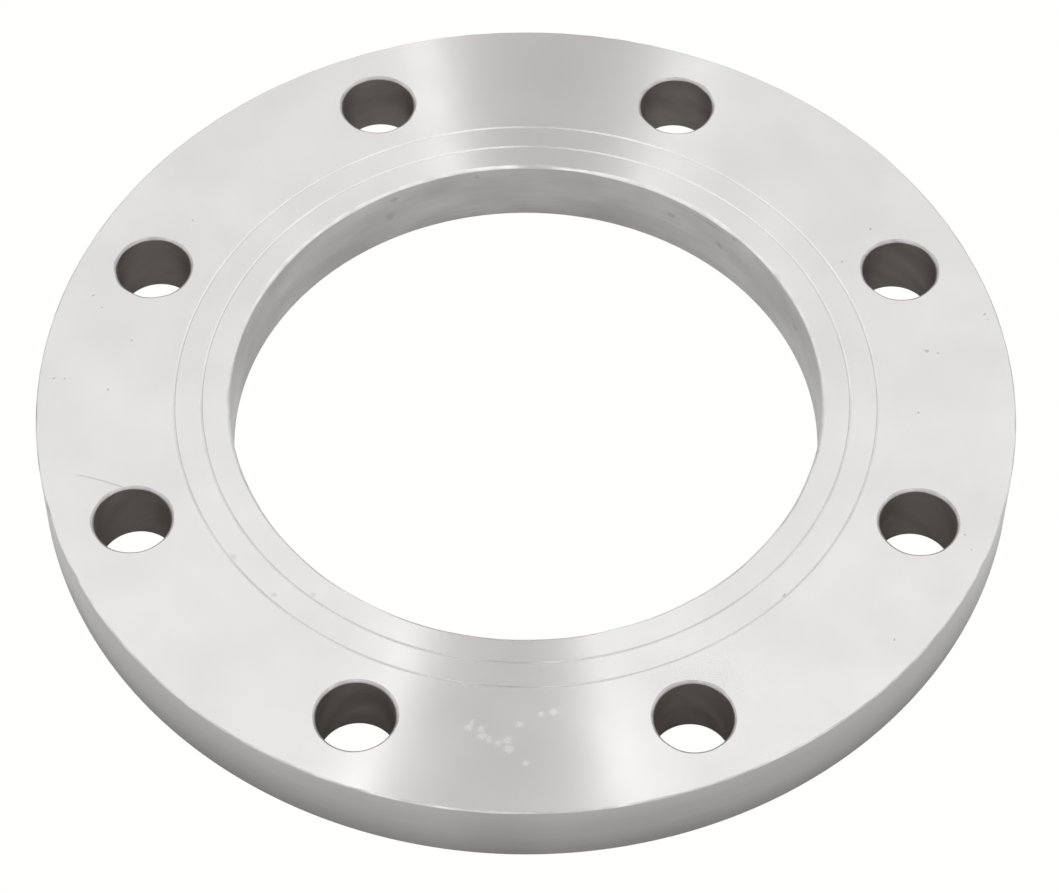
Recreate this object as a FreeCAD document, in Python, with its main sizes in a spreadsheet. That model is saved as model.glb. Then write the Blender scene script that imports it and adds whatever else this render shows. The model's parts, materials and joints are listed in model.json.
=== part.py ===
import FreeCAD, Part
import math
import os
import Sketcher

# A plate flange that is welded onto the end of a steel pipe: one flat ring,
# turned on both faces and on the rim, bored for the pipe, with eight plain
# bolt holes and two fine V lines round the bore on the sealing face.
# The ring lies on its back face. The sealing face looks up (+Z), and the
# origin is the centre of the bore on the back face.

PARTS_FOLDER = "parts"
NODE_NAME = "flange"
VOLUME_TOLERANCE = 1e-4
FULL_TURN = 360

# Driving dimensions in millimetres, angles in degrees.
DIMENSIONS = [
    ("plate_thickness", 22.0, "sealing face to back face"),
    ("bore_diameter", 171.4, "slides over a pipe of 168.3 outside diameter"),
    ("bolt_circle_diameter", 240.0, "circle through the bolt hole centres"),
    ("bolt_hole_diameter", 22.0, "clears an M20 bolt"),
    ("bolt_hole_count", 8.0, "evenly spaced"),
    ("rim_land", 10.5, "bolt hole wall to rim, so the rim is 283 across"),
    ("bore_edge_break", 0.8, "45 degree edge of the bore at the sealing face"),
    ("hole_edge_break", 0.8, "45 degree edge of each bolt hole at the sealing face"),
    ("back_edge_break", 0.5, "45 degree edge of the bore and bolt holes at the back"),
    ("rim_edge_break", 0.4, "45 degree edge of the rim, both sides"),
    ("line_inset", 8.0, "bore wall to the root of the inner V line"),
    ("line_spacing", 7.9, "root of the inner V line to root of the outer one"),
    ("line_depth", 0.2, "depth of each V line below the sealing face"),
    ("line_angle", 126.0, "angle between the two flanks of each V line"),
]


def make_sheet(doc):
    """Write the driving dimensions into the spreadsheet, one aliased cell each."""
    sheet = doc.addObject("Spreadsheet::Sheet", "Sizes")
    for row, (alias, value, note) in enumerate(DIMENSIONS, start=1):
        sheet.set(f"A{row}", alias)
        sheet.set(f"B{row}", str(value))
        sheet.set(f"C{row}", note)
        sheet.setAlias(f"B{row}", alias)
    doc.recompute()
    return sheet


def origin_plane(body, role):
    """Return the body's own origin plane with the given role."""
    for feature in body.Origin.OriginFeatures:
        if feature.Role == role:
            return feature
    raise RuntimeError(f"no origin feature {role}")


def new_section_sketch(body, name):
    """Start a sketch on the body's XZ plane: sketch x is the radius, sketch y is the height."""
    sketch = body.newObject("Sketcher::SketchObject", name)
    sketch.AttachmentSupport = [(origin_plane(body, "XZ_Plane"), "")]
    sketch.MapMode = "FlatFace"
    return sketch


def draw_outline(sketch, corners):
    """Draw a closed outline through the corners and join its ends. Return its edge numbers."""
    edges = []
    for start, end in zip(corners, corners[1:] + corners[:1]):
        line = Part.LineSegment(FreeCAD.Vector(*start, 0), FreeCAD.Vector(*end, 0))
        edges.append(sketch.addGeometry(line, False))
    for edge, following in zip(edges, edges[1:] + edges[:1]):
        sketch.addConstraint(Sketcher.Constraint("Coincident", edge, 2, following, 1))
    return edges


def hold_size(sketch, kind, places, start_value, name, formula):
    """Add one named dimension to the sketch and bind it to the spreadsheet."""
    number = sketch.addConstraint(Sketcher.Constraint(kind, *places, start_value))
    sketch.renameConstraint(number, name)
    sketch.setExpression(f"Constraints.{name}", formula)


def hold_edge_break(sketch, edge, leg, name, formula):
    """Make a sloping edge a 45 degree break: both of its legs have the same bound size."""
    for kind, suffix in (("DistanceX", "across"), ("DistanceY", "down")):
        first, last = (edge, 1), (edge, 2)
        start = sketch.getPoint(*first)
        end = sketch.getPoint(*last)
        rising = end.x > start.x if kind == "DistanceX" else end.y > start.y
        ordered = first + last if rising else last + first
        hold_size(sketch, kind, ordered, leg, f"{name}_{suffix}", formula)


def add_ring(body, size):
    """Turn the flat ring: bore, two faces and rim, with its four edges broken."""
    bore = size["bore_diameter"] / 2
    rim = size["bolt_circle_diameter"] / 2 + size["bolt_hole_diameter"] / 2 + size["rim_land"]
    rim_formula = "Sizes.bolt_circle_diameter / 2 + Sizes.bolt_hole_diameter / 2 + Sizes.rim_land"
    top = size["plate_thickness"]
    bore_top = size["bore_edge_break"]
    bore_back = size["back_edge_break"]
    corner = size["rim_edge_break"]

    sketch = new_section_sketch(body, "RingSection")
    wall, bore_top_break, face, rim_top_break, side, rim_back_break, back, bore_back_break = draw_outline(
        sketch,
        [
            (bore, bore_back),
            (bore, top - bore_top),
            (bore + bore_top, top),
            (rim - corner, top),
            (rim, top - corner),
            (rim, corner),
            (rim - corner, 0),
            (bore + bore_back, 0),
        ],
    )
    for edge in (wall, side):
        sketch.addConstraint(Sketcher.Constraint("Vertical", edge))
    for edge in (face, back):
        sketch.addConstraint(Sketcher.Constraint("Horizontal", edge))
    sketch.addConstraint(Sketcher.Constraint("PointOnObject", back, 1, -1))
    hold_size(sketch, "DistanceX", (-1, 1, wall, 1), bore, "bore_radius", "Sizes.bore_diameter / 2")
    hold_size(sketch, "DistanceX", (-1, 1, side, 1), rim, "rim_radius", rim_formula)
    hold_size(sketch, "DistanceY", (-1, 1, face, 1), top, "thickness", "Sizes.plate_thickness")
    hold_edge_break(sketch, bore_top_break, bore_top, "bore_top", "Sizes.bore_edge_break")
    hold_edge_break(sketch, bore_back_break, bore_back, "bore_back", "Sizes.back_edge_break")
    hold_edge_break(sketch, rim_top_break, corner, "rim_top", "Sizes.rim_edge_break")
    hold_edge_break(sketch, rim_back_break, corner, "rim_back", "Sizes.rim_edge_break")

    ring = body.newObject("PartDesign::Revolution", "Ring")
    ring.Profile = sketch
    ring.ReferenceAxis = (sketch, ["V_Axis"])
    ring.Angle = FULL_TURN


def add_sealing_lines(body, size):
    """Turn the two V lines into the sealing face. Each V is drawn up to the face and no higher."""
    top = size["plate_thickness"]
    depth = size["line_depth"]
    half_width = depth * math.tan(math.radians(size["line_angle"] / 2))
    half_width_formula = "Sizes.line_depth * tan(Sizes.line_angle / 2 * 1deg)"
    inner_root = size["bore_diameter"] / 2 + size["line_inset"]
    inner_formula = "Sizes.bore_diameter / 2 + Sizes.line_inset"
    roots = {
        "inner": (inner_root, inner_formula),
        "outer": (inner_root + size["line_spacing"], inner_formula + " + Sizes.line_spacing"),
    }

    sketch = new_section_sketch(body, "SealingLineSection")
    for name, (root, root_formula) in roots.items():
        near_flank, far_flank, mouth = draw_outline(
            sketch,
            [(root - half_width, top), (root, top - depth), (root + half_width, top)],
        )
        sketch.addConstraint(Sketcher.Constraint("Horizontal", mouth))
        hold_size(sketch, "DistanceX", (-1, 1, near_flank, 2), root, f"{name}_radius", root_formula)
        hold_size(sketch, "DistanceY", (-1, 1, mouth, 1), top, f"{name}_face", "Sizes.plate_thickness")
        hold_size(
            sketch, "DistanceY", (near_flank, 2, near_flank, 1), depth, f"{name}_depth", "Sizes.line_depth"
        )
        for flank, side in ((near_flank, "near"), (far_flank, "far")):
            hold_size(
                sketch, "DistanceX", (flank, 1, flank, 2), half_width, f"{name}_{side}", half_width_formula
            )

    lines = body.newObject("PartDesign::Groove", "SealingLines")
    lines.Profile = sketch
    lines.ReferenceAxis = (sketch, ["V_Axis"])
    lines.Angle = FULL_TURN


def add_bolt_holes(body, size):
    """Drill one bolt hole with both edges broken, then repeat it round the bolt circle."""
    centre = size["bolt_circle_diameter"] / 2
    radius = size["bolt_hole_diameter"] / 2
    wall_x = centre + radius
    top = size["plate_thickness"]
    top_break = size["hole_edge_break"]
    back_break = size["back_edge_break"]

    sketch = new_section_sketch(body, "BoltHoleSection")
    # The bolt holes straddle the centre lines, so the first is half a step round from X.
    half_step = FULL_TURN / size["bolt_hole_count"] / 2
    sketch.AttachmentOffset = FreeCAD.Placement(
        FreeCAD.Vector(0, 0, 0), FreeCAD.Rotation(FreeCAD.Vector(0, 1, 0), half_step)
    )
    sketch.setExpression("AttachmentOffset.Rotation.Angle", "180deg / Sizes.bolt_hole_count")
    axis_side, back_side, back_slope, wall, top_slope, top_side = draw_outline(
        sketch,
        [
            (centre, top),
            (centre, 0),
            (wall_x + back_break, 0),
            (wall_x, back_break),
            (wall_x, top - top_break),
            (wall_x + top_break, top),
        ],
    )
    for edge in (axis_side, wall):
        sketch.addConstraint(Sketcher.Constraint("Vertical", edge))
    for edge in (back_side, top_side):
        sketch.addConstraint(Sketcher.Constraint("Horizontal", edge))
    sketch.addConstraint(Sketcher.Constraint("PointOnObject", back_side, 1, -1))
    hold_size(
        sketch, "DistanceX", (-1, 1, axis_side, 1), centre, "hole_centre", "Sizes.bolt_circle_diameter / 2"
    )
    hold_size(
        sketch, "DistanceX", (axis_side, 2, wall, 1), radius, "hole_radius", "Sizes.bolt_hole_diameter / 2"
    )
    hold_size(sketch, "DistanceY", (axis_side, 2, axis_side, 1), top, "thickness", "Sizes.plate_thickness")
    hold_edge_break(sketch, top_slope, top_break, "hole_top", "Sizes.hole_edge_break")
    hold_edge_break(sketch, back_slope, back_break, "hole_back", "Sizes.back_edge_break")

    hole = body.newObject("PartDesign::Groove", "BoltHole")
    hole.Profile = sketch
    hole.ReferenceAxis = (sketch, [f"Edge{axis_side + 1}"])
    hole.Angle = FULL_TURN

    holes = body.newObject("PartDesign::PolarPattern", "BoltHoles")
    holes.Originals = [hole]
    holes.Axis = (origin_plane(body, "Z_Axis"), [""])
    holes.Angle = FULL_TURN
    holes.setExpression("Occurrences", "Sizes.bolt_hole_count")
    body.Tip = holes


def check_cuts(doc, size):
    """Stop if a cut took nothing away, or the bolt holes are not all alike."""
    ring, lined, one_hole, all_holes = (
        doc.getObject(name).Shape.Volume for name in ("Ring", "SealingLines", "BoltHole", "BoltHoles")
    )
    if not ring > lined > one_hole > all_holes:
        raise RuntimeError("a cut took no metal away")
    per_hole = (lined - all_holes) / size["bolt_hole_count"]
    if abs(per_hole - (lined - one_hole)) > VOLUME_TOLERANCE * per_hole:
        raise RuntimeError("the bolt holes are not all alike")


def check_document(doc, body):
    """Stop if any object failed or the flange is not one sound solid."""
    for item in doc.Objects:
        if "Invalid" in item.State or "Error" in item.State:
            raise RuntimeError(f"{item.Name} failed: {item.State}")
    shape = body.Shape
    if shape.isNull() or not shape.isValid() or len(shape.Solids) != 1:
        raise RuntimeError("the flange is not one sound solid")


def build():
    doc = FreeCAD.newDocument("WeldFlange")
    sheet = make_sheet(doc)
    size = {alias: float(sheet.get(alias)) for alias, _, _ in DIMENSIONS}

    body = doc.addObject("PartDesign::Body", "Flange")
    body.Label = NODE_NAME
    body.Placement = FreeCAD.Placement()
    add_ring(body, size)
    add_sealing_lines(body, size)
    add_bolt_holes(body, size)
    doc.recompute()
    check_document(doc, body)
    check_cuts(doc, size)

    os.makedirs(PARTS_FOLDER, exist_ok=True)
    body.Shape.exportStep(os.path.join(PARTS_FOLDER, f"{body.Label}.step"))
    print(f"{body.Label}: {body.Shape.Volume / 1000:.1f} cm3, {len(body.Shape.Faces)} faces")


build()
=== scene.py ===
import bpy
import json
import math
import random
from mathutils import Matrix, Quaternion, Vector


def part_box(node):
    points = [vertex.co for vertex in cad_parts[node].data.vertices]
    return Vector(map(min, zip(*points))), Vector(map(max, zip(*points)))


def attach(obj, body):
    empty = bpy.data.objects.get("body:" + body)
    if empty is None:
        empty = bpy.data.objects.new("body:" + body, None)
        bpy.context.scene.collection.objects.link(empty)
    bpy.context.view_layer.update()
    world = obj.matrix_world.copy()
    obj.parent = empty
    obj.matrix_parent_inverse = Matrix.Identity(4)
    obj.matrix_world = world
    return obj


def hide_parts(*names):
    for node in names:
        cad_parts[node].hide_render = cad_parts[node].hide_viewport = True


# A stainless steel plate flange: one flat ring, turned on both faces and the rim, bored, and drilled
# with eight bolt holes. It lies on its back face. All sizes in the dictionaries are millimetres and
# degrees unless a note says otherwise. The mesh is made in millimetres and scaled to metres at the end.

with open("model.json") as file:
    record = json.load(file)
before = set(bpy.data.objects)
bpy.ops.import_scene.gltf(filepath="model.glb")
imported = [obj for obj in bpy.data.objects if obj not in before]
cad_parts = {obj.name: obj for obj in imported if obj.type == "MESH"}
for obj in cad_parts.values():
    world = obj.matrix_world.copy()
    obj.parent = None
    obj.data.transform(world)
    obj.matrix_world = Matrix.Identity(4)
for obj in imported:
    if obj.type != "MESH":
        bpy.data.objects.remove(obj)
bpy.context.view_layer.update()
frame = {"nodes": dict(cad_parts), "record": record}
print("frame loaded:", ", ".join(sorted(frame["nodes"])))

mm = 0.001


# helpers

def hexToLinear(text):
    channels = []
    for start in (0, 2, 4):
        value = int(text[start:start + 2], 16) / 255
        channels.append(value / 12.92 if value <= 0.04045 else ((value + 0.055) / 1.055) ** 2.4)
    return (*channels, 1.0)


def addNode(tree, kind, inputs=None, out=0, **settings):
    node = tree.nodes.new("ShaderNode" + kind)
    for name, value in settings.items():
        setattr(node, name, value)
    for socket, value in (inputs or {}).items():
        if isinstance(value, bpy.types.NodeSocket):
            tree.links.new(value, node.inputs[socket])
        else:
            node.inputs[socket].default_value = value
    return node.outputs[out] if node.outputs else node


def newMaterial(name):
    material = bpy.data.materials.new(name)
    material.use_nodes = True
    material.node_tree.nodes.clear()
    return material, material.node_tree


def mountNamed(name):
    return next(m for m in frame["record"]["mounts"] if m["name"] == name)


# camera

view = {
    "photo": (1059, 893),        # pixels across and down
    "aim": (1.06, -19.96, 22.0),   # point on the sealing face that the picture is centred on
    "distance": 1032.1,
    "elevation": 53.48,
    "roll": 0.186,
    "lens": 122.59,
    "sensor": 36.0,
    "clip": (0.05, 50.0),        # metres
}


def cameraStand():
    # the way back from the aim to the camera, and how the camera is turned
    lift = math.radians(view["elevation"])
    back = Vector((0, -math.cos(lift), math.sin(lift)))
    roll = Quaternion(Vector((0, 0, 1)), math.radians(view["roll"]))
    return back, (-back).to_track_quat("-Z", "Y") @ roll


def sightLine(across, down):
    # where the photo was taken from, and which way one of its pixels looks, in the part's millimetres
    back, turn = cameraStand()
    wide, high = view["photo"]
    pixel = view["sensor"] / wide
    look = Vector(((across - wide / 2) * pixel, (high / 2 - down) * pixel, -view["lens"]))
    return Vector(view["aim"]) + back * view["distance"], turn @ look


def makeCamera():
    back, turn = cameraStand()
    data = bpy.data.cameras.new("camera")
    data.lens = view["lens"]
    data.sensor_width = view["sensor"]
    data.sensor_fit = "HORIZONTAL"
    data.clip_start, data.clip_end = view["clip"]
    camera = bpy.data.objects.new("camera", data)
    bpy.context.scene.collection.objects.link(camera)
    camera.location = (Vector(view["aim"]) + back * view["distance"]) * mm
    camera.rotation_mode = "QUATERNION"
    camera.rotation_quaternion = turn
    bpy.context.scene.camera = camera
    print("camera placed")


makeCamera()


# stage: a pale table top and a light tent round it

stage = {
    "tableSize": 6000.0,
    "tableDrop": 0.05,           # just under the flange, so the two never share a plane
    "tableWhite": "FFFFFE",      # what the camera sees of the table and the tent
    "tableGrey": 0.78,           # what the metal sees of the table, as a diffuse share
    "shadeGrey": 0.28,           # the same beside the rim, where the table is painted darker as shade
    "shadeReach": 30.0,
    "shadeInset": 12.7,          # the shade starts this far under the rim
    "shadeShift": 14.0,          # and falls a little towards the camera
    "boreNearGrey": 0.95,        # what shows inside the bore, at its near and its far side: painted shade, darker towards the far side
    "boreFarGrey": 0.43,
    "holeNearGrey": 0.50,        # and inside the bolt holes: painted shade, darker towards the near side
    "holeFarGrey": 0.95,
    "slitHeight": 52.6,          # where the slit in the tent is narrowest, above the far edge of the table
    "slitTilt": 4.0,             # how far it leans over
    "slitShift": -0.001,         # and how far it is off the middle, as a share of the tent's radius
    "slitNarrow": 0.010,         # half its width where it is narrowest, as the same share
    "slitSpread": 0.22,          # how fast it widens to both ends
    "slitReach": 0.6,            # where it stops widening
    "gapTone": 0.59,             # brightness of the slit itself
    "lampTone": 2.35,            # of the strip lamp along each of its sides
    "clothTone": 1.00,           # and of the white cloth beyond
    "lampFrom": 1.1,             # where the lamps are, in half widths of the slit
    "lampTo": 1.12,
    "lampFade": 0.2,             # how soft their edges are
    "frontTone": 1.09,           # the tent in front, above and at the sides
    "backTone": 0.80,            # and low behind the flange
    "frontEnd": 0.46,            # where it starts to darken, as a share of the way back
    "backStart": 0.76,
}


def makeTable():
    half = stage["tableSize"] / 2 * mm
    z = -stage["tableDrop"] * mm
    mesh = bpy.data.meshes.new("table")
    corners = [(-half, -half, z), (half, -half, z), (half, half, z), (-half, half, z)]
    mesh.from_pydata(corners, [], [(0, 1, 2, 3)])
    table = bpy.data.objects.new("table", mesh)
    bpy.context.scene.collection.objects.link(table)
    material, tree = newMaterial("paperWhiteTable")   # matt paper, lit up to plain white
    place = addNode(tree, "TexCoord", out="Object")
    # the grey that the metal sees is painted: darker beside the rim as painted shade that falls towards the
    # camera
    middle = (0, -stage["shadeShift"] * mm, 0)
    radius = addNode(tree, "VectorMath", {0: place, 1: middle}, out="Value", operation="DISTANCE")
    rim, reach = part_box("flange")[1].x, stage["shadeReach"] * mm
    start = rim - stage["shadeInset"] * mm
    outside = addNode(tree, "MapRange", {"Value": radius, 1: start, 2: start + reach, 3: stage["shadeGrey"],
                                         4: stage["tableGrey"]}, interpolation_type="SMOOTHSTEP")
    radius = addNode(tree, "VectorMath", {0: place}, out="Value", operation="LENGTH")
    depth = addNode(tree, "SeparateXYZ", {0: place}, out="Y")
    grey = outside
    # under the ring and in the bore the grey runs from the near to the far side as painted shade
    for edge, name in ((rim, "hole"), (mountNamed("pipe_bore")["dims"]["r_mm"] * mm, "bore")):
        floor = addNode(tree, "MapRange", {"Value": depth, 1: -edge, 2: edge, 3: stage[name + "NearGrey"],
                                           4: stage[name + "FarGrey"]})
        within = addNode(tree, "Math", {0: radius, 1: edge}, operation="LESS_THAN")
        grey = addNode(tree, "Mix", {0: within, 2: grey, 3: floor})
    paper = addNode(tree, "BsdfDiffuse", {"Color": grey})
    white = addNode(tree, "Emission", {"Color": hexToLinear(stage["tableWhite"]), "Strength": 1.0})
    seen = addNode(tree, "LightPath", out="Is Camera Ray")
    mixed = addNode(tree, "MixShader", {0: seen, 1: paper, 2: white})
    addNode(tree, "OutputMaterial", {"Surface": mixed})
    mesh.materials.append(material)


def makeTent():
    world = bpy.data.worlds.new("tent")
    world.use_nodes = True
    bpy.context.scene.world = world
    tree = world.node_tree
    tree.nodes.clear()
    direction = addNode(tree, "TexCoord", out="Generated")
    rise, tilt = math.radians(stage["slitHeight"]), math.radians(stage["slitTilt"])
    right = Vector((1, 0, 0))
    down = Vector((0, math.sin(rise), -math.cos(rise)))
    across = right * math.cos(tilt) - down * math.sin(tilt)
    along = right * math.sin(tilt) + down * math.cos(tilt)
    side = addNode(tree, "VectorMath", {0: direction, 1: across}, out="Value", operation="DOT_PRODUCT")
    side = addNode(tree, "Math", {0: side, 1: stage["slitShift"]}, operation="SUBTRACT")
    far = addNode(tree, "VectorMath", {0: direction, 1: along}, out="Value", operation="DOT_PRODUCT")
    far = addNode(tree, "Math", {0: far}, operation="ABSOLUTE")
    far = addNode(tree, "Math", {0: far, 1: stage["slitReach"]}, operation="MINIMUM")
    width = addNode(tree, "Math", {0: far, 1: stage["slitSpread"], 2: stage["slitNarrow"]},
                    operation="MULTIPLY_ADD")
    widths = addNode(tree, "Math", {0: side, 1: width}, operation="DIVIDE")
    widths = addNode(tree, "Math", {0: widths}, operation="ABSOLUTE")
    fade, lampFrom, lampTo = stage["lampFade"], stage["lampFrom"], stage["lampTo"]
    lamp = addNode(tree, "MapRange", {"Value": widths, 1: lampFrom - fade, 2: lampFrom, 3: stage["gapTone"],
                                      4: stage["lampTone"]})
    past = addNode(tree, "MapRange", {"Value": widths, 1: lampTo, 2: lampTo + fade, 3: 0.0, 4: 1.0})
    cloth = addNode(tree, "Mix", {0: past, 2: lamp, 3: stage["clothTone"]})
    depth = addNode(tree, "SeparateXYZ", {0: direction}, out="Y")
    depth = addNode(tree, "MapRange", {"Value": depth, 1: stage["frontEnd"], 2: stage["backStart"],
                                       3: stage["frontTone"], 4: stage["backTone"]})
    strength = addNode(tree, "Math", {0: depth, 1: cloth}, operation="MULTIPLY")
    glow = addNode(tree, "Background", {"Color": (1, 1, 1, 1), "Strength": strength})
    white = addNode(tree, "Background", {"Color": hexToLinear(stage["tableWhite"]), "Strength": 1.0})
    seen = addNode(tree, "LightPath", out="Is Camera Ray")
    mixed = addNode(tree, "MixShader", {0: seen, 1: glow, 2: white})
    addNode(tree, "OutputWorld", {"Surface": mixed})


makeTable()
makeTent()
bpy.context.scene.view_settings.view_transform = "Standard"
print("table and tent made")


# flange mesh

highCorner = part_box("flange")[1]
boltMount = mountNamed("bolt_circle")["dims"]

ring = {
    "rim": highCorner.x / mm,
    "thickness": highCorner.z / mm,
    "bore": mountNamed("pipe_bore")["dims"]["r_mm"],
    "boltCircle": boltMount["pcd_mm"] / 2,
    "hole": boltMount["hole_r_mm"],
    "holeCount": boltMount["count"],
    "lines": (8.0, 15.9),        # bore wall to the root of each V line
    "lineDepth": 0.2,
    "lineLand": 2.0,             # the plain strip beside each line, on the bore's side
    "lineInnerFlank": 0.26,      # the tool leant over a little, so the inner flank is the steeper one
    "lineOuterFlank": 0.52,
    "boreBreak": 0.8,            # edge breaks on the sealing face
    "holeBreak": 0.8,
    "rimBreak": 0.4,
    "backBreak": 0.5,
    "boreWander": 0.12,          # how unevenly each edge was filed, as a share of its break
    "rimWander": 0.15,
    "holeWander": 0.12,
    "boreWaves": (11, 12, 4, 34),   # seed, number of waves, and the fewest and most crests that one has
    "rimWaves": (23, 18, 7, 120),
    "holeWaves": (40, 6, 1, 9),     # the seed goes up by one from hole to hole
    "wanderOut": 1.6,            # the most that the waves widen a break, in those shares
    "wanderIn": 1.6,             # and the most that they narrow one
    "rimWanderIn": 1.4,
    "breakSteps": 5,
    "fullness": 0.55,            # 0 is a flat 45 degree break, 1 a full quarter round
    "holdGap": 0.18,             # a narrow band beside each edge keeps the flat beside it flat
    "sectorSteps": 96,           # round one eighth of the ring
    "patchSteps": 20,            # half the width of the net round a bolt hole, in the same steps
    "patchReach": 16.0,          # bolt circle to the inner and outer side of that net
    "patchRows": 16,
    "netRings": (0.10, 0.26, 0.48, 0.74),   # its rings, as shares of the way from the hole to its border
    "wallRows": 4,
    "sharpAngle": 20.0,          # the flanks of the V lines stay crisp, the broken edges soft
}

finishes = ("turnedFace", "highlightFlank", "shadeFlank", "boredWall", "turnedRim", "drilledWall", "filedEdge",
            "rimEdge", "drilledEdge")
slotOf = {name: index for index, name in enumerate(finishes)}

stepsAround = ring["sectorSteps"] * ring["holeCount"]
angles = [math.tau * i / stepsAround for i in range(stepsAround)]


def wander(seed, waves, low, high):
    dice = random.Random(seed)
    terms = []
    for _ in range(waves):
        count = dice.randint(low, high)
        terms.append((count, dice.uniform(0, math.tau), dice.uniform(0.5, 1.0)))
    total = math.sqrt(sum(size * size for _, _, size in terms) / 2)

    def value(angle):
        return sum(size * math.sin(count * angle + start) for count, start, size in terms) / total

    return value


def unevenness(waves, share, narrowing):
    wobble = wander(*waves)

    def value(angle):
        return share * max(-narrowing, min(ring["wanderOut"], wobble(angle)))

    return value


def even(angle):
    return 0.0


def breakProfile(steps, fullness):
    points = []
    for step in range(steps + 1):
        share = step / steps
        turn = share * math.pi / 2
        inward = (1 - share) * (1 - fullness) + (1 - math.sin(turn)) * fullness
        down = share * (1 - fullness) + (1 - math.cos(turn)) * fullness
        points.append((inward, down))
    return points   # from the face (1, 0) to the wall (0, 1)


edgeProfile = breakProfile(ring["breakSteps"], ring["fullness"])


class Net:
    def __init__(self):
        self.points = []
        self.faces = []
        self.slots = []

    def point(self, x, y, z):
        self.points.append((x * mm, y * mm, z * mm))
        return len(self.points) - 1

    def fromCentre(self, corner, centre):
        x, y, _ = self.points[corner]
        return x / mm - centre[0], y / mm - centre[1]

    def circle(self, radius, height):
        # each is a number, or a function of the angle where an edge is uneven
        loop = []
        for angle in angles:
            r = radius(angle) if callable(radius) else radius
            z = height(angle) if callable(height) else height
            loop.append(self.point(r * math.cos(angle), r * math.sin(angle), z))
        return loop

    def face(self, corners, finish):
        self.faces.append(corners)
        self.slots.append(slotOf[finish])

    def band(self, first, second, finish, flip=False):
        count = len(first)
        for i in range(count):
            j = (i + 1) % count
            corners = (first[i], first[j], second[j], second[i])
            self.face(corners[::-1] if flip else corners, finish)

    def join(self, loops, flip=False):
        # each loop comes with the finish of the band that ends there
        for (first, _), (second, finish) in zip(loops, loops[1:]):
            self.band(first, second, finish, flip)


def brokenEdge(net, wall, face, size, sign, upward, uneven):
    # sign is +1 where the face lies outside the wall radius (the bore) and -1 inside it (the rim)
    loops = []
    for inward, down in edgeProfile:
        def radius(angle, inward=inward):
            return wall + sign * inward * size * (1 + uneven(angle))

        def height(angle, down=down):
            drop = down * size * (1 + uneven(angle))
            return face - drop if upward else face + drop

        loops.append(net.circle(radius, height))
    return loops


def finishEdge(loops, before, edge):
    # the first loop ends the surface that leads up to the edge
    return [(loop, edge if i else before) for i, loop in enumerate(loops)]


def wallHeights(start, end):
    rows = ring["wallRows"]
    return [start + (end - start) * row / rows for row in range(rows + 1)]


def turnInside(net, border):
    # from the belt of bolt holes in to the bore, down its wall and back out underneath
    top, bore, hold = ring["thickness"], ring["bore"], ring["holdGap"]
    uneven = unevenness(ring["boreWaves"], ring["boreWander"], ring["wanderIn"])
    widest = ring["boreBreak"] * (1 + ring["wanderOut"] * ring["boreWander"])
    loops = [(net.circle(border, top), "turnedFace")]
    for inset in reversed(ring["lines"]):
        root = bore + inset
        lip = root - ring["lineInnerFlank"]
        loops.append((net.circle(root + ring["lineOuterFlank"], top), "turnedFace"))
        # the gentle outer flank carries a painted highlight, the steep inner one painted shade
        loops.append((net.circle(root, top - ring["lineDepth"]), "highlightFlank"))
        loops.append((net.circle(lip, top), "shadeFlank"))
        loops.append((net.circle(lip - ring["lineLand"], top), "turnedFace"))
    loops.append((net.circle(bore + widest + hold, top), "turnedFace"))
    topEdge = brokenEdge(net, bore, top, ring["boreBreak"], 1, True, uneven)
    loops += finishEdge(topEdge, "turnedFace", "filedEdge")
    for height in wallHeights(top - widest - hold, ring["backBreak"] + hold):
        loops.append((net.circle(bore, height), "boredWall"))
    backEdge = brokenEdge(net, bore, 0, ring["backBreak"], 1, False, even)
    loops += finishEdge(reversed(backEdge), "boredWall", "filedEdge")
    for radius in (bore + ring["backBreak"] + hold, (bore + border) / 2, border):
        loops.append((net.circle(radius, 0), "turnedFace"))
    net.join(loops)
    return loops[0][0], loops[-1][0]


def turnOutside(net, border):
    # from the belt of bolt holes out to the rim underneath, up it and back in on top
    top, rim, hold = ring["thickness"], ring["rim"], ring["holdGap"]
    uneven = unevenness(ring["rimWaves"], ring["rimWander"], ring["rimWanderIn"])
    widest = ring["rimBreak"] * (1 + ring["wanderOut"] * ring["rimWander"])
    loops = [(net.circle(border, 0), "turnedFace")]
    loops.append((net.circle(rim - ring["rimBreak"] - hold, 0), "turnedFace"))
    backEdge = brokenEdge(net, rim, 0, ring["rimBreak"], -1, False, even)
    loops += finishEdge(backEdge, "turnedFace", "filedEdge")
    for height in wallHeights(ring["rimBreak"] + hold, top - widest - hold):
        loops.append((net.circle(rim, height), "turnedRim"))
    topEdge = brokenEdge(net, rim, top, ring["rimBreak"], -1, True, uneven)
    loops += finishEdge(reversed(topEdge), "turnedRim", "rimEdge")
    loops.append((net.circle(rim - widest - hold, top), "turnedFace"))
    loops.append((net.circle(border, top), "turnedFace"))
    net.join(loops)
    return loops[-1][0], loops[0][0]


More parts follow.
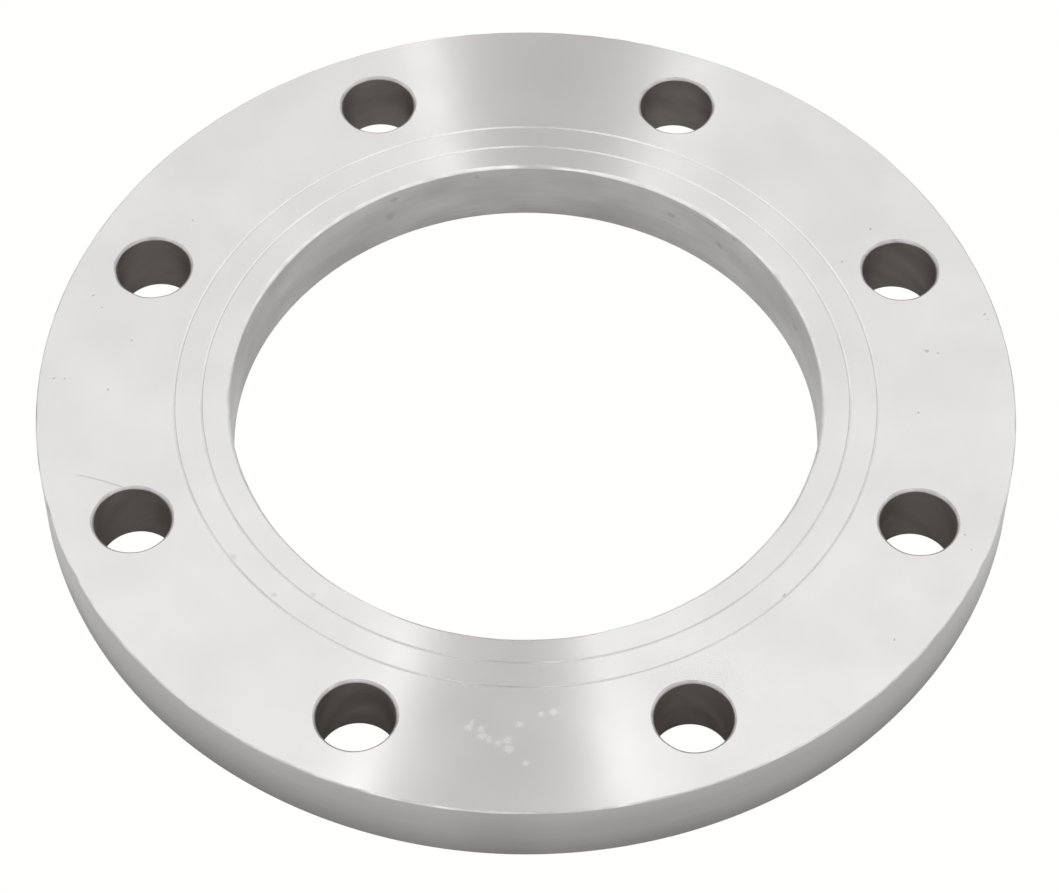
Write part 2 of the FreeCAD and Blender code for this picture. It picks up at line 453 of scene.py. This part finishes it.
def layBelt(net, borders, reach, level, faceUp):
    # the belt of a face that holds the bolt holes: plain rows, with a round net let in at each hole
    steps, rows, half = ring["sectorSteps"], ring["patchRows"], ring["patchSteps"]
    inner, outer = reach
    grid = [borders[0]]
    for row in range(1, rows):
        radius = inner + (outer - inner) * row / rows
        loop = []
        for i, angle in enumerate(angles):
            offset = (i % steps) - steps // 2
            if abs(offset) < half:
                loop.append(None)   # inside the net round a bolt hole
            else:
                loop.append(net.point(radius * math.cos(angle), radius * math.sin(angle), level))
        grid.append(loop)
    grid.append(borders[1])
    for low, high in zip(grid, grid[1:]):
        for i in range(stepsAround):
            j = (i + 1) % stepsAround
            offset = (i % steps) - steps // 2
            if -half <= offset < half:
                continue
            corners = (low[i], high[i], high[j], low[j])
            net.face(corners if faceUp else corners[::-1], "turnedFace")
    return [layHoleNet(net, grid, number, level, faceUp) for number in range(ring["holeCount"])]


def holeCentre(number):
    angle = math.tau * (number + 0.5) / ring["holeCount"]
    return ring["boltCircle"] * math.cos(angle), ring["boltCircle"] * math.sin(angle)


def layHoleNet(net, grid, number, level, faceUp):
    # from the four-sided gap that the belt leaves in to the edge of the hole
    steps, rows, half = ring["sectorSteps"], ring["patchRows"], ring["patchSteps"]
    middle = number * steps + steps // 2
    left, right = middle - half, middle + half
    border = [grid[0][i] for i in range(left, right)]
    border += [grid[row][right] for row in range(rows)]
    border += [grid[rows][i] for i in range(right, left, -1)]
    border += [grid[row][left] for row in range(rows, 0, -1)]
    centre = holeCentre(number)
    breakSize = ring["holeBreak"] if faceUp else ring["backBreak"]
    start = ring["hole"] + breakSize * (1 + ring["wanderOut"] * ring["holeWander"]) + ring["holdGap"]
    previous = border
    for share in reversed((0.0, *ring["netRings"])):
        loop = []
        for corner in border:
            x, y = net.fromCentre(corner, centre)
            length = math.hypot(x, y)
            ratio = (start + (length - start) * share) / length
            loop.append(net.point(centre[0] + x * ratio, centre[1] + y * ratio, level))
        net.band(previous, loop, "turnedFace", flip=faceUp)
        previous = loop
    return previous


def lineBoltHole(net, number, topLoop, backLoop):
    # down through the hole, from the net on top to the net underneath
    centre = holeCentre(number)
    top, hole, hold = ring["thickness"], ring["hole"], ring["holdGap"]
    turns = []
    for corner in topLoop:
        x, y = net.fromCentre(corner, centre)
        turns.append(math.atan2(y, x))
    count = len(turns)
    seed, *waves = ring["holeWaves"]
    uneven = unevenness((seed + number, *waves), ring["holeWander"], ring["wanderIn"])
    widest = ring["holeBreak"] * (1 + ring["wanderOut"] * ring["holeWander"])
    sizes = [ring["holeBreak"] * (1 + uneven(turn)) for turn in turns]

    def loopAt(radii, heights):
        return [net.point(centre[0] + r * math.cos(a), centre[1] + r * math.sin(a), z)
                for r, a, z in zip(radii, turns, heights)]

    topEdge = []
    for inward, down in edgeProfile:
        topEdge.append(loopAt([hole + inward * s for s in sizes], [top - down * s for s in sizes]))
    loops = [(topLoop, "turnedFace")] + finishEdge(topEdge, "turnedFace", "drilledEdge")
    for height in wallHeights(top - widest - hold, ring["backBreak"] + hold):
        loops.append((loopAt([hole] * count, [height] * count), "drilledWall"))
    for inward, down in reversed(edgeProfile):
        radius, height = hole + inward * ring["backBreak"], down * ring["backBreak"]
        loops.append((loopAt([radius] * count, [height] * count), "drilledEdge"))
    loops.append((backLoop, "turnedFace"))
    net.join(loops, flip=True)


def makeFlangeMesh():
    net = Net()
    reach = (ring["boltCircle"] - ring["patchReach"], ring["boltCircle"] + ring["patchReach"])
    innerTop, innerBack = turnInside(net, reach[0])
    outerTop, outerBack = turnOutside(net, reach[1])
    topLoops = layBelt(net, (innerTop, outerTop), reach, ring["thickness"], True)
    backLoops = layBelt(net, (innerBack, outerBack), reach, 0.0, False)
    for number in range(ring["holeCount"]):
        lineBoltHole(net, number, topLoops[number], backLoops[number])
    return net


# finishes: 304 stainless steel, cut in different ways. Pattern sizes are millimetres.

steel = {
    "metallic": 1.0,
    "acrossTool": 0.25,          # a quarter turn, so that the sheen spreads across the tool marks
    "noiseLow": 0.3,             # noise mostly keeps between these two, so it is stretched to fill 0 to 1
    "noiseHigh": 0.7,
}

turnedFace = {
    "tone": "EDEAEA",
    "roughness": 0.188,
    "grain": 1.0,                # how much longer the sheen is across the tool marks than along them
    "feed": 0.9,                 # the real 0.25 mm feed is too fine to show, so it is drawn coarser
    "feedHeight": 0.001,
    "passSize": (34.0, 3.2),     # rings where the tool was reset, seen as small steps in the sheen
    "passHeight": 0.0045,
    "hazeSize": 26.0,
    "hazeTone": "E5E2E2",
    "hazeRoughness": 0.012,
    "markWobble": 1.6,           # grain of the ragged outline of the marks
    "markRagged": 1.5,
    "dingTone": "6E6B6A",
    "dingShare": 0.40,
    "scratchTone": "8C8E93",
    "scratchShare": 0.35,
    "markDepth": 4.0,            # of the dings and the scratch, in pass heights
    "scuffTone": "FFFFFF",
    "scuffShare": 0.60,
    "scuffRoughness": 0.14,
    "smudgeTone": "A79F99",
    "smudgeShare": 0.22,
}

# small marks on the sealing face, listed from the photo: pixels across and down, then the radius
dings = (
    (927, 351, 0.7), (938, 353, 0.4), (984, 314, 0.5), (988, 319, 0.4), (842, 262, 0.5),
    (871, 229, 0.5), (918, 413, 0.4), (93, 295, 0.5), (102, 307, 0.4), (131, 340, 0.5),
    (108, 390, 0.4), (65, 378, 0.4), (54, 378, 0.4), (260, 163, 0.4), (193, 220, 0.4),
    (618, 54, 0.5), (785, 596, 0.8), (894, 640, 0.4), (972, 550, 0.4), (965, 535, 0.4),
)
scuffs = (
    (469, 727, 1.6), (471, 722, 1.1), (481, 729, 1.3), (482, 736, 1.6), (489, 740, 1.3), (507, 740, 1.5),
    (509, 749, 1.7), (498, 743, 1.2), (520, 724, 1.3), (541, 714, 1.2), (554, 712, 1.5), (526, 763, 1.2),
)
smudges = ((233, 557, 1.5), (313, 595, 1.3), (274, 595, 1.2))
scratch = {
    "centre": (-141.6, -96.0),
    "radius": 67.0,
    "halfWidth": 0.45,
    "from": -129.0,              # its ends, across the ring
    "to": -113.6,
    "fadeIn": 3.0,               # it grows clear over this much at its outer end
}

walls = {
    # bored: fine rings one above the other, so the wall is an even satin grey with a few cloudy patches
    "boredWall": {"name": "boredStainlessWall", "tone": "F0EFEE", "patch": "D3D1CF", "roughness": 0.36,
                  "grain": 0.75, "patchSize": (30.0, 12.0), "lineSize": (70.0, 0.8), "lineShare": 0.30,
                  "lineHeight": 0.006},
    # turned: like the bore, with a softer sheen from the light round it
    "turnedRim": {"name": "turnedStainlessRim", "tone": "DDDBDA", "patch": "CFCCCA", "roughness": 0.30,
                  "grain": 1.0, "patchSize": (40.0, 14.0), "lineSize": (90.0, 0.9), "lineShare": 0.30,
                  "lineHeight": 0.006},
    # drilled: rough all ways, and darker still where it is seen at a grazing angle
    "drilledWall": {"name": "drilledStainlessWall", "tone": "C2BEBB", "patch": "A9A4A0", "roughness": 0.50,
                    "grain": 0.0, "edgeTone": "5A5856", "patchSize": (12.0, 7.0), "lineSize": (40.0, 0.9),
                    "lineShare": 0.30, "lineHeight": 0.020},
    # broken with a file while the ring turned: a bright line round the bore
    "filedEdge": {"name": "filedStainlessEdge", "tone": "FAF9F8", "patch": "DCDAD8", "roughness": 0.30,
                  "grain": 1.0, "patchSize": (6.0, 3.0), "lineSize": (12.0, 0.5), "lineShare": 0.30,
                  "lineHeight": 0.003},
    # broken by hand: the same line round the rim, but patchy
    "rimEdge": {"name": "handFiledStainlessEdge", "tone": "F4F2F1", "patch": "B4B1AF", "roughness": 0.38,
                "grain": 0.8, "patchSize": (7.0, 3.0), "lineSize": (12.0, 0.5), "lineShare": 0.30,
                "lineHeight": 0.003},
    # countersunk: a pale satin ring round each bolt hole
    "drilledEdge": {"name": "countersunkStainlessEdge", "tone": "D6D3D2", "patch": "B6B3B2",
                    "roughness": 0.50, "grain": 0.0, "patchSize": (5.0, 3.0), "lineSize": (12.0, 0.5),
                    "lineShare": 0.30, "lineHeight": 0.003},
    # cut with a pointed tool: the gentle flank is toned brighter as a painted highlight, and the steep
    # one darker as painted shade
    "highlightFlank": {"name": "paintedHighlightSteelFlank", "tone": "FDFCFC", "patch": "EDECEC", "roughness": 0.36,
                "grain": 1.0, "patchSize": (14.0, 4.0), "lineSize": (30.0, 0.6), "lineShare": 0.20,
                "lineHeight": 0.001},
    "shadeFlank": {"name": "paintedShadeSteelFlank", "tone": "DEDCDC", "patch": "CAC8C8", "roughness": 0.36,
                 "grain": 1.0, "patchSize": (14.0, 4.0), "lineSize": (30.0, 0.6), "lineShare": 0.20,
                 "lineHeight": 0.001},
}

# stains on the bore wall, listed in the same way
boreStains = (
    (391, 216, 2.2), (394, 200, 1.6), (476, 177, 1.2), (671, 215, 1.5), (719, 245, 1.5), (734, 239, 1.0),
    (795, 327, 1.5),
)
boreMarks = {
    "stainTone": "6A6765",
    "stainShare": 0.22,
    "wobble": 2.0,
    "ragged": 3.0,
    "toolHeight": 19.2,          # a line that the boring tool left a little under the sealing face
    "toolHalfWidth": 0.30,
    "toolFrom": 40.0,            # its ends, across the ring
    "toolTo": 77.0,
    "toolShare": 0.50,
    "toolGaps": (0.42, 0.58),    # it fades in between these values of the cloudy patches
}


def onFace(across, down):
    # the place on the sealing face that a pixel of the photo shows, laid flat
    eye, look = sightLine(across, down)
    spot = eye + look * ((ring["thickness"] - eye.z) / look.z)
    return spot.x, spot.y, 0


def onBore(across, down):
    # the same on the bore wall: the line of sight comes in over the near side and meets the far one
    eye, look = sightLine(across, down)
    a = look.x ** 2 + look.y ** 2
    b = eye.x * look.x + eye.y * look.y
    c = eye.x ** 2 + eye.y ** 2 - ring["bore"] ** 2
    return eye + look * ((math.sqrt(b * b - a * c) - b) / a)


def millimetres(tree):
    place = addNode(tree, "TexCoord", out="Object")
    return addNode(tree, "VectorMath", {0: place, "Scale": 1 / mm}, operation="SCALE")


def polarPlace(tree, place, middle, size):
    # a place for noise that runs round the ring without a seam: size is the pattern's size round the
    # ring and across it, out along a face or up a wall
    around, across = size
    flat = addNode(tree, "VectorMath", {0: place, 1: (1, 1, 0)}, operation="MULTIPLY")
    radius = addNode(tree, "VectorMath", {0: flat}, out="Value", operation="LENGTH")
    height = addNode(tree, "SeparateXYZ", {0: place}, out="Z")
    outward = addNode(tree, "VectorMath", {0: flat}, operation="NORMALIZE")
    turn = addNode(tree, "VectorMath", {0: outward, "Scale": middle / around}, operation="SCALE")
    level = addNode(tree, "Math", {0: radius, 1: height}, operation="ADD")
    level = addNode(tree, "Math", {0: level, 1: 1 / across}, operation="MULTIPLY")
    lift = addNode(tree, "CombineXYZ", {2: level})
    return addNode(tree, "VectorMath", {0: turn, 1: lift}, operation="ADD")


def raggedPlace(tree, place, wobble, ragged):
    # the same place pushed about a little, which gives round marks an uneven outline
    push = addNode(tree, "TexNoise", {"Vector": place, "Scale": 1 / wobble}, out="Color")
    push = addNode(tree, "VectorMath", {0: push, 1: (0.5, 0.5, 0.5)}, operation="SUBTRACT")
    return addNode(tree, "VectorMath", {0: push, 1: (ragged, ragged, 0), 2: place}, operation="MULTIPLY_ADD")


def spotsMask(tree, place, picks, onSurface):
    coreShare = 0.3   # the part of each spot's radius that is at full strength
    total = 0.0
    for across, down, size in picks:
        middle = onSurface(across, down)
        gap = addNode(tree, "VectorMath", {0: place, 1: middle}, out="Value", operation="DISTANCE")
        spot = addNode(tree, "MapRange", {"Value": gap, 1: size, 2: size * coreShare, 3: 0.0, 4: 1.0})
        total = addNode(tree, "Math", {0: spot, 1: total}, operation="MAXIMUM")
    return total


def paintOver(tree, color, mask, share, tone):
    amount = addNode(tree, "Math", {0: mask, 1: share}, operation="MULTIPLY")
    return addNode(tree, "Mix", {0: amount, 6: color, 7: hexToLinear(tone)}, out=2, data_type="RGBA")


def finishSteel(tree, color, roughness, grain, height, heightSize, edgeTone="FFFFFF"):
    shader = addNode(tree, "BsdfPrincipled", {
        "Base Color": color,
        "Metallic": steel["metallic"],
        "Roughness": roughness,
        "Specular Tint": hexToLinear(edgeTone),   # how much of the light is left at a grazing angle
        "Anisotropic": grain,
        "Anisotropic Rotation": steel["acrossTool"],
        "Tangent": addNode(tree, "Tangent", direction_type="RADIAL", axis="Z"),
        "Normal": addNode(tree, "Bump", {"Height": height, "Distance": heightSize * mm}),
    })
    addNode(tree, "OutputMaterial", {"Surface": shader})


def scratchMask(tree, flat):
    # a shallow arc beside a bolt hole
    centre = (*scratch["centre"], 0)
    gap = addNode(tree, "VectorMath", {0: flat, 1: centre}, out="Value", operation="DISTANCE")
    gap = addNode(tree, "Math", {0: gap, 1: scratch["radius"]}, operation="SUBTRACT")
    gap = addNode(tree, "Math", {0: gap}, operation="ABSOLUTE")
    line = addNode(tree, "MapRange", {"Value": gap, 1: scratch["halfWidth"], 2: 0.0, 3: 0.0, 4: 1.0})
    x = addNode(tree, "SeparateXYZ", {0: flat}, out="X")
    clear = scratch["from"] + scratch["fadeIn"]
    starts = addNode(tree, "MapRange", {"Value": x, 1: scratch["from"], 2: clear, 3: 0.0, 4: 1.0})
    stops = addNode(tree, "Math", {0: x, 1: scratch["to"]}, operation="LESS_THAN")
    line = addNode(tree, "Math", {0: line, 1: starts}, operation="MULTIPLY")
    return addNode(tree, "Math", {0: line, 1: stops}, operation="MULTIPLY")


def makeTurnedFace():
    # faced on a lathe: fine circular tool marks, so light draws out into two fans across the ring
    look = turnedFace
    material, tree = newMaterial("turnedStainlessFace")
    place = millimetres(tree)
    flat = addNode(tree, "VectorMath", {0: place, 1: (1, 1, 0)}, operation="MULTIPLY")
    radius = addNode(tree, "VectorMath", {0: flat}, out="Value", operation="LENGTH")
    height = addNode(tree, "SeparateXYZ", {0: place}, out="Z")
    sealing = addNode(tree, "Math", {0: height, 1: ring["thickness"] / 2}, operation="GREATER_THAN")
    feed = addNode(tree, "TexNoise", {"W": radius, "Scale": 1 / look["feed"], "Detail": 2.0},
                   noise_dimensions="1D")
    passSpot = polarPlace(tree, place, ring["boltCircle"], look["passSize"])
    passes = addNode(tree, "TexNoise", {"Vector": passSpot, "Scale": 1.0, "Detail": 2.0})
    haze = addNode(tree, "TexNoise", {"Vector": place, "Scale": 1 / look["hazeSize"], "Detail": 3.0})
    haze = addNode(tree, "MapRange", {"Value": haze, 1: steel["noiseLow"], 2: steel["noiseHigh"]})

    ragged = raggedPlace(tree, flat, look["markWobble"], look["markRagged"])
    masks = {"scratch": scratchMask(tree, flat)}
    for name, marks in (("ding", dings), ("scuff", scuffs), ("smudge", smudges)):
        masks[name] = spotsMask(tree, ragged, marks, onFace)
    for name, mask in masks.items():
        masks[name] = addNode(tree, "Math", {0: mask, 1: sealing}, operation="MULTIPLY")

    color = addNode(tree, "Mix", {0: haze, 6: hexToLinear(look["tone"]), 7: hexToLinear(look["hazeTone"])},
                    out=2, data_type="RGBA")
    color = paintOver(tree, color, masks["smudge"], look["smudgeShare"], look["smudgeTone"])
    color = paintOver(tree, color, masks["scuff"], look["scuffShare"], look["scuffTone"])
    color = paintOver(tree, color, masks["ding"], look["dingShare"], look["dingTone"])
    color = paintOver(tree, color, masks["scratch"], look["scratchShare"], look["scratchTone"])

    low, high = look["roughness"] - look["hazeRoughness"], look["roughness"] + look["hazeRoughness"]
    roughness = addNode(tree, "MapRange", {"Value": haze, 1: 0.0, 2: 1.0, 3: low, 4: high})
    roughness = addNode(tree, "Math", {0: masks["scuff"], 1: look["scuffRoughness"], 2: roughness},
                        operation="MULTIPLY_ADD")
    feedShare = look["feedHeight"] / look["passHeight"]
    relief = addNode(tree, "Math", {0: feed, 1: feedShare, 2: passes}, operation="MULTIPLY_ADD")
    marked = addNode(tree, "Math", {0: masks["ding"], 1: masks["scratch"]}, operation="MAXIMUM")
    relief = addNode(tree, "Math", {0: marked, 1: -look["markDepth"], 2: relief}, operation="MULTIPLY_ADD")
    finishSteel(tree, color, roughness, look["grain"], relief, look["passHeight"])
    return material


def toolLineMask(tree, place, breaks):
    height = addNode(tree, "SeparateXYZ", {0: place}, out="Z")
    gap = addNode(tree, "Math", {0: height, 1: boreMarks["toolHeight"]}, operation="SUBTRACT")
    gap = addNode(tree, "Math", {0: gap}, operation="ABSOLUTE")
    line = addNode(tree, "MapRange", {"Value": gap, 1: boreMarks["toolHalfWidth"], 2: 0.0, 3: 0.0, 4: 1.0})
    x = addNode(tree, "SeparateXYZ", {0: place}, out="X")
    starts = addNode(tree, "Math", {0: x, 1: boreMarks["toolFrom"]}, operation="GREATER_THAN")
    stops = addNode(tree, "Math", {0: x, 1: boreMarks["toolTo"]}, operation="LESS_THAN")
    farSide = addNode(tree, "SeparateXYZ", {0: place}, out="Y")
    farSide = addNode(tree, "Math", {0: farSide, 1: 0.0}, operation="GREATER_THAN")
    low, high = boreMarks["toolGaps"]
    broken = addNode(tree, "MapRange", {"Value": breaks, 1: low, 2: high})
    for part in (starts, stops, farSide, broken):
        line = addNode(tree, "Math", {0: line, 1: part}, operation="MULTIPLY")
    return line


def markBore(tree, place, color, breaks):
    ragged = raggedPlace(tree, place, boreMarks["wobble"], boreMarks["ragged"])
    stains = spotsMask(tree, ragged, boreStains, onBore)
    color = paintOver(tree, color, stains, boreMarks["stainShare"], boreMarks["stainTone"])
    toolLine = toolLineMask(tree, place, breaks)
    return paintOver(tree, color, toolLine, boreMarks["toolShare"], boreMarks["stainTone"])


def makeWall(finish):
    look = walls[finish]
    material, tree = newMaterial(look["name"])
    place = millimetres(tree)
    patchSpot = polarPlace(tree, place, ring["bore"], look["patchSize"])
    lineSpot = polarPlace(tree, place, ring["bore"], look["lineSize"])
    patches = addNode(tree, "TexNoise", {"Vector": patchSpot, "Scale": 1.0, "Detail": 3.0})
    lines = addNode(tree, "TexNoise", {"Vector": lineSpot, "Scale": 1.0, "Detail": 2.0})
    low, high = steel["noiseLow"], steel["noiseHigh"]
    cloudy = addNode(tree, "MapRange", {"Value": patches, 1: low, 2: high})
    streaks = addNode(tree, "MapRange", {"Value": lines, 1: low, 2: high})
    color = addNode(tree, "Mix", {0: cloudy, 6: hexToLinear(look["tone"]), 7: hexToLinear(look["patch"])},
                    out=2, data_type="RGBA")
    color = paintOver(tree, color, streaks, look["lineShare"], look["patch"])
    if finish == "boredWall":
        color = markBore(tree, place, color, patches)
    finishSteel(tree, color, look["roughness"], look["grain"], lines, look["lineHeight"],
                look.get("edgeTone", "FFFFFF"))
    return material


def makeFlange():
    net = makeFlangeMesh()
    mesh = bpy.data.meshes.new("turnedRing")
    mesh.from_pydata(net.points, [], net.faces)
    for finish in finishes:
        mesh.materials.append(makeTurnedFace() if finish == "turnedFace" else makeWall(finish))
    mesh.polygons.foreach_set("material_index", net.slots)
    mesh.polygons.foreach_set("use_smooth", [True] * len(net.faces))
    mesh.set_sharp_from_angle(angle=math.radians(ring["sharpAngle"]))
    mesh.validate()
    flange = bpy.data.objects.new("turnedRing", mesh)
    bpy.context.scene.collection.objects.link(flange)
    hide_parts("flange")
    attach(flange, "root")
    print("flange made:", 2 * len(net.faces), "triangles")


makeFlange()
